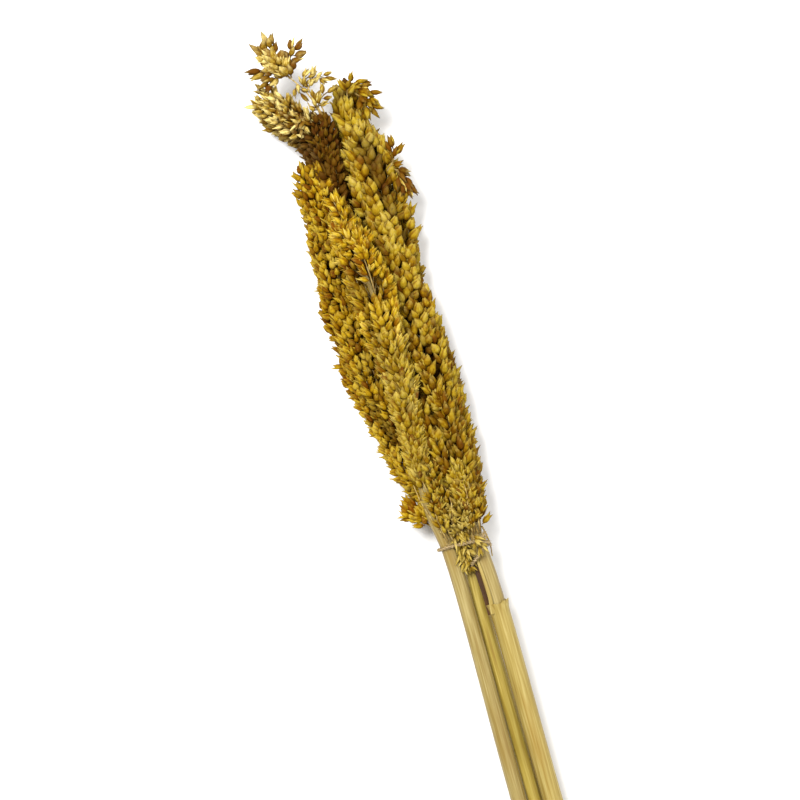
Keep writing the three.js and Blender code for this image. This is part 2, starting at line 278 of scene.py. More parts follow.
# Copies of models that together make one piece. The shade of a copy is its tone, how far along it is, its
# rust and its depth in the head; the materials paint low depth values as shade.
class Heap:
    def __init__(self, seed=1):
        self.copies = []
        self.rng = random.Random(seed)

    def add(self, model, spots, tone, rust, depth, slot=0):
        shade = np.empty((len(spots), 4))
        shade[:, 0] = tone
        shade[:, 1] = model["along"]
        shade[:, 2] = rust
        shade[:, 3] = depth
        grain = model["spots"] + [self.rng.uniform(0, 0.2) for i in range(3)]  # no two have the same pattern
        lift = tableGap - spots[:, 2].min()
        if lift > 0:  # it rests on the table
            spots = spots + (0, 0, lift)
        self.copies.append((model, spots, shade, grain, slot))

    def addSpikelet(self, kind, place, aim, front, size, tone, rust, depth):
        aim = unit(aim)
        side = unit(np.cross(front, aim))
        turn = np.column_stack([side, np.cross(aim, side), aim])
        rng = self.rng
        model = models[kind]
        local = model["spots"] * size * [rng.uniform(0.88, 1.12) for i in "xyz"]  # no two are quite alike
        bend = (model["along"] ** 2)[:, None] * (rng.uniform(-0.6, 0.6), rng.uniform(-0.9, 0.5), 0) * mm
        self.add(model, (local + bend) @ turn.T + place, tone, rust, depth)

    # A twig along points, with its radius at each of them.
    def addTwig(self, points, radii, tone, rust, depth, model=None, slot=1):
        model = model or twigModel
        points = np.array(points)
        steps = np.linalg.norm(np.diff(points, axis=0), axis=1)
        places = np.concatenate([[0], np.cumsum(steps)]) / steps.sum()
        radii = np.interp(places, np.linspace(0, 1, len(radii)), radii)
        rings = np.unique(model["spots"][:, 2].round(5))
        spots = model["spots"].copy()
        across = unit(np.cross(points[-1] - points[0], (0.3, 0.2, 1)))
        for ring in rings:
            ahead, behind = min(ring + 0.06, 1), max(ring - 0.06, 0)
            forward = unit(between(ahead, places, points) - between(behind, places, points))
            side = unit(np.cross(forward, np.cross(across, forward)))
            over = np.cross(forward, side)
            those = abs(model["spots"][:, 2] - ring) < 1e-4
            flat = model["spots"][those]
            radius = np.interp(ring, places, radii)
            rim = radius * (flat[:, :1] * side + flat[:, 1:2] * over)
            spots[those] = between(ring, places, points) + rim
        self.add(model, spots, tone, rust, depth, slot)

    # Makes the piece's mesh, shaded smooth, with the shades and the grain as attributes.
    def build(self, name, *materials):
        copies = self.copies
        starts = np.cumsum([0] + [len(c[1]) for c in copies])
        mesh = bpy.data.meshes.new(name)
        spots = np.vstack([c[1] for c in copies])
        corners = np.concatenate([c[0]["corners"] + start for c, start in zip(copies, starts)])
        sizes = np.concatenate([c[0]["sizes"] for c in copies])
        slots = np.concatenate([np.full(len(c[0]["sizes"]), c[4]) for c in copies])
        mesh.vertices.add(len(spots))
        mesh.vertices.foreach_set("co", spots.astype(np.float32).ravel())
        mesh.loops.add(len(corners))
        mesh.loops.foreach_set("vertex_index", corners.astype(np.int32))
        mesh.polygons.add(len(sizes))
        firsts = np.concatenate([[0], np.cumsum(sizes)[:-1]])
        mesh.polygons.foreach_set("loop_start", firsts.astype(np.int32))
        mesh.polygons.foreach_set("loop_total", sizes.astype(np.int32))
        for material in materials:
            mesh.materials.append(material)
        if len(materials) > 1:
            mesh.polygons.foreach_set("material_index", slots.astype(np.int32))
        mesh.polygons.foreach_set("use_smooth", np.ones(len(sizes), bool))
        mesh.update(calc_edges=True)
        addValues(mesh, "shade", "FLOAT_COLOR", [c[2] for c in copies])
        addValues(mesh, "grain", "FLOAT_VECTOR", [c[3] for c in copies])
        addValues(mesh, "seam", "FLOAT", [c[0]["seam"] for c in copies])
        piece = bpy.data.objects.new(name, mesh)
        bpy.context.scene.collection.objects.link(piece)
        triangles = int(sizes.sum() - 2 * len(sizes))
        print("   ", name, "has", len(copies), "twigs and spikelets,", triangles, "triangles")
        return piece


# The piece stands for CAD nodes, and moves with the bunch.
def settle(piece, slot, *nodes):
    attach(piece, "root")
    if nodes:
        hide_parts(*nodes)


# A colour on screen, as levels from 0 to 255, made the shader's linear colour.
def shadeOf(*levels):
    shares = [level / 255 for level in levels]
    return (*(((c + 0.055) / 1.055) ** 2.4 if c > 0.04 else c / 12.92 for c in shares), 1)


# A short way to write a material's node tree.
class Nodes:
    def __init__(self, name, roughness=0.6):
        self.material = bpy.data.materials.new(name)
        self.material.use_nodes = True
        self.tree = self.material.node_tree
        self.shader = self.tree.nodes["Principled BSDF"]
        self.shader.inputs["Roughness"].default_value = roughness
        self.shader.inputs["Specular IOR Level"].default_value = 0.35

    def add(self, kind, **settings):
        node = self.tree.nodes.new(kind)
        for key, value in settings.items():
            if key[0] == "_":
                node.inputs[key[1:].replace("_", " ")].default_value = value
            else:
                setattr(node, key, value)
        return node

    def link(self, source, target):
        self.tree.links.new(source, target)

    def math(self, operation, a, b):
        node = self.add("ShaderNodeMath", operation=operation)
        for socket, value in zip(node.inputs, (a, b)):
            if isinstance(value, (int, float)):
                socket.default_value = value
            else:
                self.link(value, socket)
        return node.outputs[0]

    # Maps a value from one range to another, clamped.
    def span(self, value, low, high, newLow=0.0, newHigh=1.0):
        node = self.add("ShaderNodeMapRange")
        self.link(value, node.inputs["Value"])
        for key, number in zip(("From Min", "From Max", "To Min", "To Max"), (low, high, newLow, newHigh)):
            node.inputs[key].default_value = number
        return node.outputs["Result"]

    def ramp(self, value, stops):
        node = self.add("ShaderNodeValToRGB")
        band = node.color_ramp
        while len(band.elements) < len(stops):
            band.elements.new(0.5)
        for element, (place, colour) in zip(band.elements, stops):
            element.position = place
            element.color = shadeOf(*colour)
        self.link(value, node.inputs["Fac"])
        return node.outputs["Color"]

    def mix(self, share, first, second):
        node = self.add("ShaderNodeMix", data_type="RGBA")
        for socket, value in zip((node.inputs[0], node.inputs[6], node.inputs[7]), (share, first, second)):
            if isinstance(value, (int, float)):
                socket.default_value = value
            elif isinstance(value, tuple):
                socket.default_value = shadeOf(*value)
            else:
                self.link(value, socket)
        return node.outputs[2]

    def noise(self, vector, scale, detail=3.0):
        node = self.add("ShaderNodeTexNoise", _Scale=scale, _Detail=detail)
        self.link(vector, node.inputs["Vector"])
        return node.outputs["Fac"]

    def objectPlace(self):
        return self.add("ShaderNodeTexCoord").outputs["Object"]

    def bump(self, height, strength, distance):
        node = self.add("ShaderNodeBump", _Strength=strength, _Distance=distance)
        self.link(height, node.inputs["Height"])
        self.link(node.outputs["Normal"], self.shader.inputs["Normal"])

    def finish(self, colour, roughness):
        self.link(colour, self.shader.inputs["Base Color"])
        self.link(roughness, self.shader.inputs["Roughness"])
        return self.material


# A husk's colours run from the duller to the brighter spikelets.
huskColours = {
    "olive": {"ramp": [(97, 63, 2), (140, 107, 7), (168, 142, 33), (182, 159, 76)], "rust": (94, 47, 1)},
    "gold": {"ramp": [(109, 71, 1), (154, 119, 6), (181, 150, 25), (203, 176, 78)], "rust": (112, 57, 1)},
    "ochre": {"ramp": [(94, 57, 1), (144, 105, 2), (172, 139, 16), (181, 155, 58)], "rust": (90, 42, 1)},
    "straw": {"ramp": [(80, 52, 4), (124, 93, 18), (168, 140, 50), (222, 202, 126)], "rust": (92, 50, 6)},
    "pale": {"ramp": [(110, 84, 16), (146, 120, 36), (170, 146, 62), (192, 170, 92)], "rust": (112, 80, 14)},
}


def huskMaterial(name, colours):
    nodes = Nodes(name)
    nodes.shader.inputs["Specular IOR Level"].default_value = 0.05
    shade = nodes.add("ShaderNodeAttribute", attribute_name="shade")
    parts = nodes.add("ShaderNodeSeparateColor")
    nodes.link(shade.outputs["Color"], parts.inputs[0])
    tone, along, rust = parts.outputs[0], parts.outputs[1], parts.outputs[2]
    depth = shade.outputs["Alpha"]
    seam = nodes.add("ShaderNodeAttribute", attribute_name="seam").outputs["Fac"]
    grain = nodes.add("ShaderNodeAttribute", attribute_name="grain").outputs["Vector"]
    stretched = nodes.add("ShaderNodeMapping")
    stretched.inputs["Scale"].default_value = (1, 1, 0.16)
    nodes.link(grain, stretched.inputs["Vector"])
    veins = nodes.noise(stretched.outputs[0], 1900.0, 2.0)  # fine lines from the base to the tip
    mottle = nodes.noise(grain, 620.0, 2.0)
    broad = nodes.noise(nodes.objectPlace(), 45.0, 2.0)
    value = nodes.math("ADD", tone, nodes.span(mottle, 0.3, 0.7, -0.16, 0.16))
    value = nodes.math("ADD", value, nodes.span(broad, 0.3, 0.7, -0.14, 0.14))
    value = nodes.math("ADD", value, nodes.span(veins, 0.3, 0.7, -0.14, 0.14))
    rustAndGapShadeBrown = colours["rust"]
    colour = nodes.ramp(value, list(zip((0.05, 0.38, 0.66, 0.95), colours["ramp"])))
    # Darker brown towards a spikelet's base: partly the husk's own colour, partly painted shade in the gaps
    # between spikelets.
    colour = nodes.mix(nodes.span(along, 0.12, 0.55, 0.8, 0.0), colour, rustAndGapShadeBrown)  # the base
    colour = nodes.mix(nodes.span(along, 0.66, 1.0, 0.0, 0.6), colour, colours["ramp"][3])  # the tip
    colour = nodes.mix(nodes.span(seam, 0.3, 1.0, 0.0, 0.75), colour, rustAndGapShadeBrown)
    rusted = nodes.math("MULTIPLY", rust, nodes.span(mottle, 0.35, 0.6, 0.5, 1.0))
    colour = nodes.mix(rusted, colour, rustAndGapShadeBrown)
    # Painted shade: spikelets deep in a head, in the painted shadow band and on the shaded side, turn dark
    # brown.
    colour = nodes.mix(nodes.span(depth, 0.32, 0.92, 0.9, 0.0), colour, (66, 35, 4))  # deep in a head
    nodes.bump(veins, 0.5, 0.0004)
    return nodes.finish(colour, nodes.span(mottle, 0.3, 0.7, 0.55, 0.8))


def twigMaterial():
    nodes = Nodes("twig", 0.75)
    place = nodes.objectPlace()
    shade = nodes.add("ShaderNodeAttribute", attribute_name="shade")
    mottle = nodes.noise(place, 420.0)
    colour = nodes.ramp(mottle, [(0.32, (124, 92, 36)), (0.5, (166, 138, 70)),
                                 (0.66, (200, 176, 112))])
    # Painted shade: twigs with a low depth, such as those inside the heads, turn dark brown.
    colour = nodes.mix(nodes.span(shade.outputs["Alpha"], 0.3, 0.9, 0.75, 0.0), colour, (64, 38, 10))
    nodes.bump(nodes.noise(place, 2200.0), 0.4, 0.0003)
    return nodes.finish(colour, nodes.span(mottle, 0.3, 0.7, 0.62, 0.82))


husks = {name: huskMaterial("husk_" + name, colours) for name, colours in huskColours.items()}
twigStuff = twigMaterial()
print("the husk and twig materials are made")

# How a head grows: ears of spikelets in a golden-angle spiral round its rachis. Lengths in millimetres
# along the stalk's line, angles in degrees. Rise makes the upper ears brighter. A parting is where the
# rachis shows on top. Shaded is painted shade on the side towards the other heads, and the band given
# as (distance, strength) is painted shadow along a head, on head C beneath its drooping tip.
headLooks = {
    "a": {"stalk": stalkA, "seed": 11, "ears": 100, "length": (34, 20), "spacing": 1.6, "tilt": (20, 40),
          "kinds": ("plump",) * 7 + ("long", "open"), "lowKinds": ("plump", "long", "open", "open"),
          "size": (0.96, 1.22), "tone": (0.12, 0.75), "rise": 0.38, "rusty": 0.08,
          "husk": "olive", "slot": "grain_olive"},
    "b": {"stalk": stalkB, "seed": 23, "ears": 66, "length": (30, 17), "spacing": 1.4, "tilt": (22, 46),
          "kinds": ("plump", "long", "long", "open"), "size": (0.84, 1.06), "tone": (0.25, 0.85),
          "rusty": 0.06, "husk": "gold", "lowHusk": "olive", "slot": "grain_gold", "parting": (376, 404)},
    "c": {"stalk": stalkC, "seed": 37, "ears": 124, "length": (28, 20), "spacing": 1.3, "tilt": (22, 48),
          "kinds": ("plump", "plump", "long", "open"), "size": (0.74, 0.94), "tone": (0.25, 0.85),
          "rusty": 0.14, "husk": "ochre", "slot": "grain_ochre", "shaded": 0.8,
          # The band below is painted shadow beneath the drooping tip; shaded paints shade on the side under
          # head B.
          "paintedShadow": [(408, 0), (422, 0.95), (446, 1.0), (458, 0.5), (472, 0.25), (482, 0)]},
}
# What all the heads share. Reach is how much of the outline an ear fills.
headHabit = {
    "inset": 4.3,  # how far inside the outline the middle of an ear runs, in mm
    "outer": (0.9, 1.06), "inner": (0.35, 0.7), "proud": (1.08, 1.18),  # reaches
    "innerEvery": 4, "proudEvery": 9,
    "lowShare": 0.4, "lowChaffy": 0.6, "chaffy": 0.25,  # the lower ears have more chaff
    "rachis": 0.8, "bend": 0.42,  # an ear leaves the rachis here, and has bent outwards by this share
    "wobble": 0.25, "scatter": 0.15, "uneven": (0.88, 1.12), "paintedShadowStrength": 0.77, "partingAngle": 0.62,
}
# What all the ears share. The ranks are the angles, in radians, at which spikelets leave in turn.
threeRanks = (-1.1, 0.0, 1.1)
earHabit = {"twig": (0.42, 0.34, 0.24), "foot": (0.7, 1.6), "swing": 0.32, "stray": 0.1, "roll": 0.4,
            "outward": 0.6, "uneven": (0.8, 1.2), "chaff": (0.8, 1.15), "chaffLean": 0.45}


def rustOf(look, rng):
    return rng.uniform(0.45, 1) if rng.random() < look["rusty"] else rng.uniform(0, 0.15)


def sway(rng, most):
    return rng.uniform(-most, most)


# A thin branch along a path, with ranks of spikelets. Out is the way that its outer side faces.
def growEar(heap, path, out, look, rng, depthAt, bare, ranks=threeRanks):
    route = Route(path, 1 * mm)
    # The twig's depth of 0.6 paints shade on it inside the head.
    heap.addTwig(route.spots, np.array(earHabit["twig"]) * mm, 0.7, 0.1, 0.6)
    distance = route.length * bare
    turn = rng.randrange(len(ranks))
    while distance < route.length:
        spot = route.at(distance)
        forward = route.forward(distance)
        sideways = unit(np.cross(forward, out))
        outward = np.cross(sideways, forward)
        turn += 1
        swing = ranks[turn % len(ranks)] + sway(rng, earHabit["swing"])
        off = outward * math.cos(swing) + sideways * math.sin(swing)
        tilt = math.radians(rng.uniform(*look["tilt"]))
        stray = [sway(rng, earHabit["stray"]) for i in "xyz"]
        aim = unit(forward * math.cos(tilt) + off * math.sin(tilt) + stray)
        roll = sideways * sway(rng, earHabit["roll"])
        front = unit(off * math.cos(tilt) - forward * math.sin(tilt) + roll + outward * earHabit["outward"])
        foot = spot + off * rng.uniform(*earHabit["foot"]) * mm
        tone = rng.uniform(*look["tone"]) + look.get("lift", 0)
        heap.addSpikelet(rng.choice(look["kinds"]), foot, aim, front, rng.uniform(*look["size"]), tone,
                         rustOf(look, rng), depthAt(foot))
        if rng.random() < look.get("chaffy", headHabit["chaffy"]):
            lean = unit(aim + sideways * rng.choice((-1, 1)) * earHabit["chaffLean"] + outward * 0.25)
            heap.addSpikelet("chaff", foot, lean, front, rng.uniform(*earHabit["chaff"]),
                             min(1, tone + 0.3), 0, depthAt(foot))
        distance += look["spacing"] * mm * rng.uniform(*earHabit["uneven"])
    heap.addSpikelet(look["kinds"][0], route.at(route.length), route.forward(route.length), out,
                     rng.uniform(*look["size"]), rng.uniform(*look["tone"]), rustOf(look, rng),
                     depthAt(route.spots[-1]))


# Ears all over a head. Each leaves the rachis low down and then follows the head's outline. The ears go to
# the heaps in turn, as their tips pass the splits.
def growHead(look, heaps, splits):
    rng = random.Random(look["seed"])
    stalk = look["stalk"]
    route, outline, flat = stalk["route"], stalk["outline"], stalk["flat"]
    start, end = outline[0][0], outline[-1][0]
    firstTip, lastTip = start + 15, end - 3
    partFrom, partTo = look.get("parting", (0, 0))
    paintedShadow = look.get("paintedShadow", [(0, 0)])

    # How far out in its head a spikelet lies, lowered by the painted shadow band and by painted shade on the
    # shaded side; low values are painted as shade.
    def depthAt(foot):
        near = np.argmin(np.linalg.norm(route.spots - foot, axis=1))
        place = route.places[near]
        off = foot - route.spots[near]
        reach = outlineAt(outline, place)
        away = np.linalg.norm(off) / max(reach - 3.4 * mm, 2.4 * mm)
        hidden = look.get("shaded", 0) * np.interp(off[0] / reach, (0.05, 0.45), (0, 1))
        dim = headHabit["paintedShadowStrength"] * np.interp(place / mm, *zip(*paintedShadow))
        return min(1.0, away) * (1 - dim) * (1 - hidden)

    for i in range(look["ears"]):
        share = (i + 0.5) / look["ears"]
        low = share < headHabit["lowShare"]
        ear = {**look, "lift": look.get("rise", 0) * (share - 0.5),
               "kinds": look.get("lowKinds", look["kinds"]) if low else look["kinds"],
               "chaffy": headHabit["lowChaffy"] if low else headHabit["chaffy"]}
        tip = firstTip + (lastTip - firstTip) * share
        length = np.interp(share, (0, 1), look["length"]) * rng.uniform(*headHabit["uneven"])
        root = max(tip - length, start - 7)
        angle = (i * goldenAngle + sway(rng, headHabit["scatter"])) % (2 * math.pi)
        if partFrom < tip < partTo + 12 and abs(angle - math.pi / 2) < headHabit["partingAngle"]:
            continue
        wobble = sway(rng, headHabit["wobble"])
        reach = rng.uniform(*headHabit["inner" if i % headHabit["innerEvery"] == 3 else "outer"])
        if i % headHabit["proudEvery"] == 5:
            reach = rng.uniform(*headHabit["proud"])
        path = []
        for u in np.linspace(0, 1, 9):
            place = (root + (tip - root) * u) * mm
            side, over = route.sides(place)
            turn = angle + wobble * u
            out = side * math.cos(turn) + over * math.sin(turn) * flat
            surface = max(outlineAt(outline, place) / mm - headHabit["inset"], 1.2) * reach
            bent = min(1, u / headHabit["bend"]) ** 0.85
            off = headHabit["rachis"] + (surface - headHabit["rachis"]) * bent
            path.append(route.at(place) + out * off * mm)
        heap = heaps[sum(tip >= split for split in splits)]
        growEar(heap, np.array(path), unit(out), ear, rng, depthAt, 0.4 if share < 0.08 else 0.2)


def growLines(heap, lines, look, rng, depth=1.0, ranks=threeRanks):
    for line in lines:
        growEar(heap, inFrame(line), up, look, rng, lambda foot: depth, look["bare"], ranks)


# Ears that stand apart from the spirals: curled ones on the right of head A, the herringbone ear on the
# parting of head B, and on head C the rounded shoulder, the drooping tip and the nape between them, darkened
# as painted shade.
extraEars = {
    "a": {"bare": 0.3, "tilt": (30, 60), "size": (0.78, 0.94), "kinds": ("open", "long"), "rusty": 0.75,
          "tone": (0.1, 0.5), "lines": [
        [(3, 180, 20), (6, 183, 21), (7.8, 187, 20), (8, 191, 18.6)]]},
    "b": {"bare": 0.2, "tilt": (24, 66), "size": (0.66, 0.98), "kinds": ("long", "open", "open"),
          "rusty": 0.08, "spacing": 1.3, "ranks": (-1.4, 1.4, -1.0, 0.8), "tone": (0.0, 0.76), "chaffy": 0.5,
          "lines": [
        [(-15, 124, 38.6), (-15.6, 133, 39.4), (-17.4, 146, 38.6), (-20, 156, 36.4)],
        [(-16.6, 142, 36), (-19.6, 151, 37.4), (-22, 161, 35.6), (-24.6, 170, 31.6)],
        [(-18, 140, 38), (-21.6, 148, 38.4), (-25, 156, 36.6)],
        [(-14, 136, 38), (-14.6, 144, 38.8), (-15.4, 152, 37.4)]]},
    "c": {"bare": 0.05, "tilt": (24, 54), "size": (0.74, 0.94), "rusty": 0.4, "lines": [
        [(-30, 146, 14), (-34.6, 162, 17), (-36.6, 178, 16), (-35.6, 189, 13)],
        [(-28, 148, 17), (-31, 164, 20), (-32.4, 178, 18.6), (-32, 188, 15.6)],
        [(-30, 144, 8), (-36.4, 160, 9), (-38, 176, 9.4), (-36, 189, 10)],
        [(-27, 152, 18), (-27.4, 168, 20), (-27.6, 180, 18), (-27.8, 189, 15)],
        [(-28, 146, 5), (-33, 162, 5), (-35, 176, 5), (-33, 188, 7)],
        [(-25, 62, 10), (-29.4, 72, 11), (-33.4, 81, 10.4), (-36.4, 88, 9.4)],
        [(-30, 80, 12), (-33.6, 88, 12), (-36.4, 94.6, 11)]]},
    "droop": {"bare": 0.1, "tilt": (26, 66), "size": (0.62, 0.9), "kinds": ("open", "long", "long"),
              "rusty": 0.3, "spacing": 1.15, "tone": (0.1, 1.0), "chaffy": 0.5, "lines": [
        [(-24, 206, 17), (-31, 214, 19.4), (-37, 221, 19.4), (-43.6, 226.6, 17.6)],
        [(-26, 208, 13), (-33, 216.6, 15), (-40, 224, 15.4), (-46, 230.6, 13.6)],
        [(-27, 205, 20.4), (-34, 212, 21), (-40, 218.4, 20), (-47, 225, 17)],
        [(-30, 203, 17.6), (-37, 209.6, 19.6), (-44, 217, 18.4), (-50, 224, 15)]]},
    # The nape's low tone and its depth of 0.4 are painted shade beneath the drooping tip.
    "nape": {"bare": 0.05, "tilt": (18, 46), "size": (0.6, 0.84), "rusty": 0.3, "tone": (0.0, 0.45),
             "depth": 0.4, "lines": [
        [(-23, 190, 18), (-21.8, 198, 21), (-20.6, 205, 22), (-20, 209.6, 21.6)],
        [(-26, 192, 18), (-25.6, 200, 21.6), (-25, 206, 22.4), (-24.6, 210, 21.6)],
        [(-20.6, 196, 17), (-19.2, 203, 19.4), (-18.8, 208, 19.4)],
        [(-21, 180, 17), (-20.4, 188, 19), (-20, 196, 19)]]},
}
# Where each head is split into pieces, along its stalk, and which piece each group of extra ears joins.
headPieces = {
    "a": {"splits": (376,), "parts": ("lower", "upper"), "extra": {"a": 1}},
    "b": {"splits": (359.8,), "parts": ("lower", "upper"), "extra": {"b": 1}},
    "c": {"splits": (366, 447), "parts": ("lower", "middle", "upper"),
          "extra": {"droop": 2, "c": 1, "nape": 1}},
}
for key, look in headLooks.items():
    pieces = headPieces[key]
    heaps = [Heap(look["seed"] + i) for i in range(len(pieces["parts"]))]
    growHead(look, heaps, pieces["splits"])
    for group, number in pieces["extra"].items():
        extra = {**look, **extraEars[group]}
        growLines(heaps[number], extra["lines"], extra, random.Random(look["seed"] + 2),
                  extra.get("depth", 1.0), extra.get("ranks", threeRanks))
    for heap, part in zip(heaps, pieces["parts"]):
        husk = look.get("lowHusk", look["husk"]) if part == "lower" else look["husk"]
        if (key, part) == ("c", "upper"):
            husk = "straw"  # the drooping tip has bleached
        settle(heap.build("head_" + key + "_" + part + "_ears", husks[husk], twigStuff), look["slot"],
               "head_" + key)
print("the heads have grown")


# Stems, with their fibres along them.
stemLook = {"sides": 26, "ringStep": 5, "ridges": 3, "ridge": 0.012, "rim": 0.7, "sink": 0.5}


# Straw with streaks along it. The attribute fibre is the place on the straight stem.
def strawMaterial(name, pale, mid, dark, patch):
    nodes = Nodes(name)
    fibre = nodes.add("ShaderNodeAttribute", attribute_name="fibre").outputs["Vector"]
    stretched = nodes.add("ShaderNodeMapping")
    stretched.inputs["Scale"].default_value = (1, 1, 0.035)
    nodes.link(fibre, stretched.inputs["Vector"])
    broad = nodes.add("ShaderNodeMapping")
    broad.inputs["Scale"].default_value = (1, 1, 0.18)
    nodes.link(fibre, broad.inputs["Vector"])
    streak = nodes.noise(stretched.outputs[0], 1100.0, 4.0)
    wide = nodes.noise(broad.outputs[0], 130.0, 3.0)
    colour = nodes.ramp(streak, [(0.3, dark), (0.5, mid), (0.68, pale)])
    colour = nodes.mix(nodes.span(wide, 0.48, 0.7, 0.0, 0.6), colour, patch)
    nodes.bump(streak, 0.5, 0.0005)
    return nodes.finish(colour, nodes.span(streak, 0.3, 0.7, 0.42, 0.62))


straw = strawMaterial("straw", (172, 154, 98), (152, 132, 74), (130, 106, 46), (140, 110, 42))
strawOlive = strawMaterial("straw_olive", (180, 160, 80), (160, 138, 56), (136, 110, 36), (130, 114, 36))
sheathStraw = strawMaterial("sheath_straw", (182, 162, 96), (162, 140, 70), (140, 114, 46), (148, 114, 40))


def pithMaterial():
    nodes = Nodes("pith", 0.85)
    pores = nodes.noise(nodes.objectPlace(), 2600.0, 2.0)
    colour = nodes.ramp(pores, [(0.4, (196, 176, 128)), (0.6, (236, 224, 186))])
    nodes.bump(pores, 0.6, 0.0003)
    return nodes.finish(colour, nodes.span(pores, 0.3, 0.7, 0.75, 0.95))


pith = pithMaterial()


# Extrudes a ring of vertices along a stem: spotOf gives each vertex's place, from the distance along the
# stem and the angle round it.
def extrudedAlong(name, sides, places, spotOf, material):
    selectNothing()
    bpy.ops.mesh.primitive_circle_add(vertices=sides, radius=1 * mm, fill_type="NGON")
    piece = bpy.context.active_object
    piece.name = piece.data.name = name
    editAll()
    for i in range(len(places) - 1):
        bpy.ops.mesh.extrude_region_move(TRANSFORM_OT_translate={"value": (0, 0, 1 * mm)})
    bpy.ops.object.mode_set(mode="OBJECT")
    spots = np.array([v.co for v in piece.data.vertices])
    rings = np.rint((spots[:, 2] - spots[:, 2].min()) / mm).astype(int)
    angles = np.arctan2(spots[:, 1], spots[:, 0])
    fibres = []
    for vertex, ring, angle in zip(piece.data.vertices, rings, angles):
        spot, fibre = spotOf(places[ring], angle)
        vertex.co = spot
        fibres.append(fibre)
    addValues(piece.data, "fibre", "FLOAT_VECTOR", fibres)
    bpy.ops.object.mode_set(mode="EDIT")
    endWithFacesOut()
    piece.data.materials.append(material)
    bpy.ops.object.shade_smooth_by_angle(angle=math.radians(50))
    return piece


def makeStem(name, stalk, material, seed):
    rng = random.Random(seed)
    route = stalk["route"]
    headStart, rachisEnd = stalk["outline"][0][0], stalk["rachisEnd"]
    taper = [(0, stalk["stemRadius"]), (headStart - 20, stalk["stemRadius"] * 0.94), (headStart + 20, 2.2),
             (headStart + 70, 1.4), (rachisEnd, 0.5)]
    waves = [(rng.uniform(0, 6.28), rng.randint(5, 9)) for i in range(stemLook["ridges"])]

    def spotOf(distance, angle):
        side, over = route.sides(distance)
        uneven = sum(math.sin(count * angle + phase) for phase, count in waves) * stemLook["ridge"]
        radius = outlineAt(taper, distance) * (1 + uneven)
        spot = route.at(distance) + radius * (side * math.cos(angle) + over * math.sin(angle))
        return spot, (radius * math.cos(angle), radius * math.sin(angle), distance)

    places = np.linspace(0, rachisEnd * mm, int(rachisEnd / stemLook["ringStep"]))
    piece = extrudedAlong(name, stemLook["sides"], places, spotOf, material)
    cutFace(piece, route)
    return piece


# The cut end: a rim of rind round the sunken pith.
def cutFace(piece, route):
    onlyThis(piece)
    piece.data.materials.append(pith)
    back = -route.forward(0)
    bpy.ops.object.mode_set(mode="EDIT")
    bpy.ops.mesh.select_all(action="DESELECT")
    bpy.ops.object.mode_set(mode="OBJECT")
    middle = route.at(0)
    for face in piece.data.polygons:
        face.select = len(face.vertices) > 4 and np.linalg.norm(np.array(face.center) - middle) < 2 * mm
    bpy.ops.object.mode_set(mode="EDIT")
    bpy.ops.mesh.select_mode(type="FACE")
    bpy.ops.mesh.inset(thickness=stemLook["rim"] * mm)
    bpy.ops.transform.translate(value=tuple(-back * stemLook["sink"] * mm))
    bpy.ops.mesh.inset(thickness=0.2 * mm)
    bpy.context.object.active_material_index = 1
    bpy.ops.object.material_slot_assign()
    bpy.ops.mesh.select_mode(type="VERT")
    bpy.ops.object.mode_set(mode="OBJECT")


stems = {"a": (stalkA, straw, 3), "b": (stalkB, straw, 5), "c": (stalkC, strawOlive, 8)}
for key, (stalk, material, seed) in stems.items():
    piece = makeStem("stem_" + key, stalk, material, seed)
    settle(piece, "stem_straw", "stalk_" + key + "_stem")
print("the stems are in place")

# The dry leaf sheath rolled round the right stem. Its edges overlap, and its end flares out.
sheathLook = {"from": 1.5, "to": 217, "gap": 0.3, "wall": 0.35, "seamAngle": -1.9, "overlap": 0.9,
              "spiral": 0.45, "flare": 1.2, "flareLength": 6, "ragged": 0.9, "around": 34, "rows": 70}


def makeSheath():
    route = stalkA["route"]
    inside = (stalkA["stemRadius"] + sheathLook["gap"]) * mm
    start, end = sheathLook["from"] * mm, sheathLook["to"] * mm
    around = sheathLook["around"]
    selectNothing()
    bpy.ops.mesh.primitive_grid_add(x_subdivisions=around, y_subdivisions=sheathLook["rows"], size=2)
    piece = bpy.context.active_object
    piece.name = piece.data.name = "leaf_sheath_roll"
    fibres = []
    rng = random.Random(9)
    ragged = [rng.uniform(-1, 1) * sheathLook["ragged"] * mm for i in range(around + 2)]
    for vertex in piece.data.vertices:
        turnShare, lengthShare = (vertex.co.x + 1) / 2, (vertex.co.y + 1) / 2
        angle = sheathLook["seamAngle"] + turnShare * (2 * math.pi + sheathLook["overlap"])
        distance = start + (end + ragged[int(turnShare * around)] - start) * lengthShare
        near = max(0, 1 - (end - distance) / (sheathLook["flareLength"] * mm))
        flare = sheathLook["flare"] * near ** 2 * (0.7 + 0.3 * math.sin(3 * angle))
        radius = inside + (turnShare * sheathLook["spiral"] + flare) * mm
        side, over = route.sides(distance)
        vertex.co = route.at(distance) + radius * (side * math.cos(angle) + over * math.sin(angle))
        fibres.append((radius * math.cos(angle), radius * math.sin(angle), distance))
    addValues(piece.data, "fibre", "FLOAT_VECTOR", fibres)
    piece.data.materials.append(sheathStraw)
    onlyThis(piece)
    editAll()
    bpy.ops.mesh.flip_normals()
    bpy.ops.object.mode_set(mode="OBJECT")
    wall = piece.modifiers.new("wall", "SOLIDIFY")
    wall.thickness = sheathLook["wall"] * mm
    wall.offset = 0
    bpy.ops.object.modifier_apply(modifier="wall")
    bpy.ops.object.shade_smooth_by_angle(angle=math.radians(50))
    return piece


settle(makeSheath(), "sheath_straw", "leaf_sheath")
print("the leaf sheath is in place")

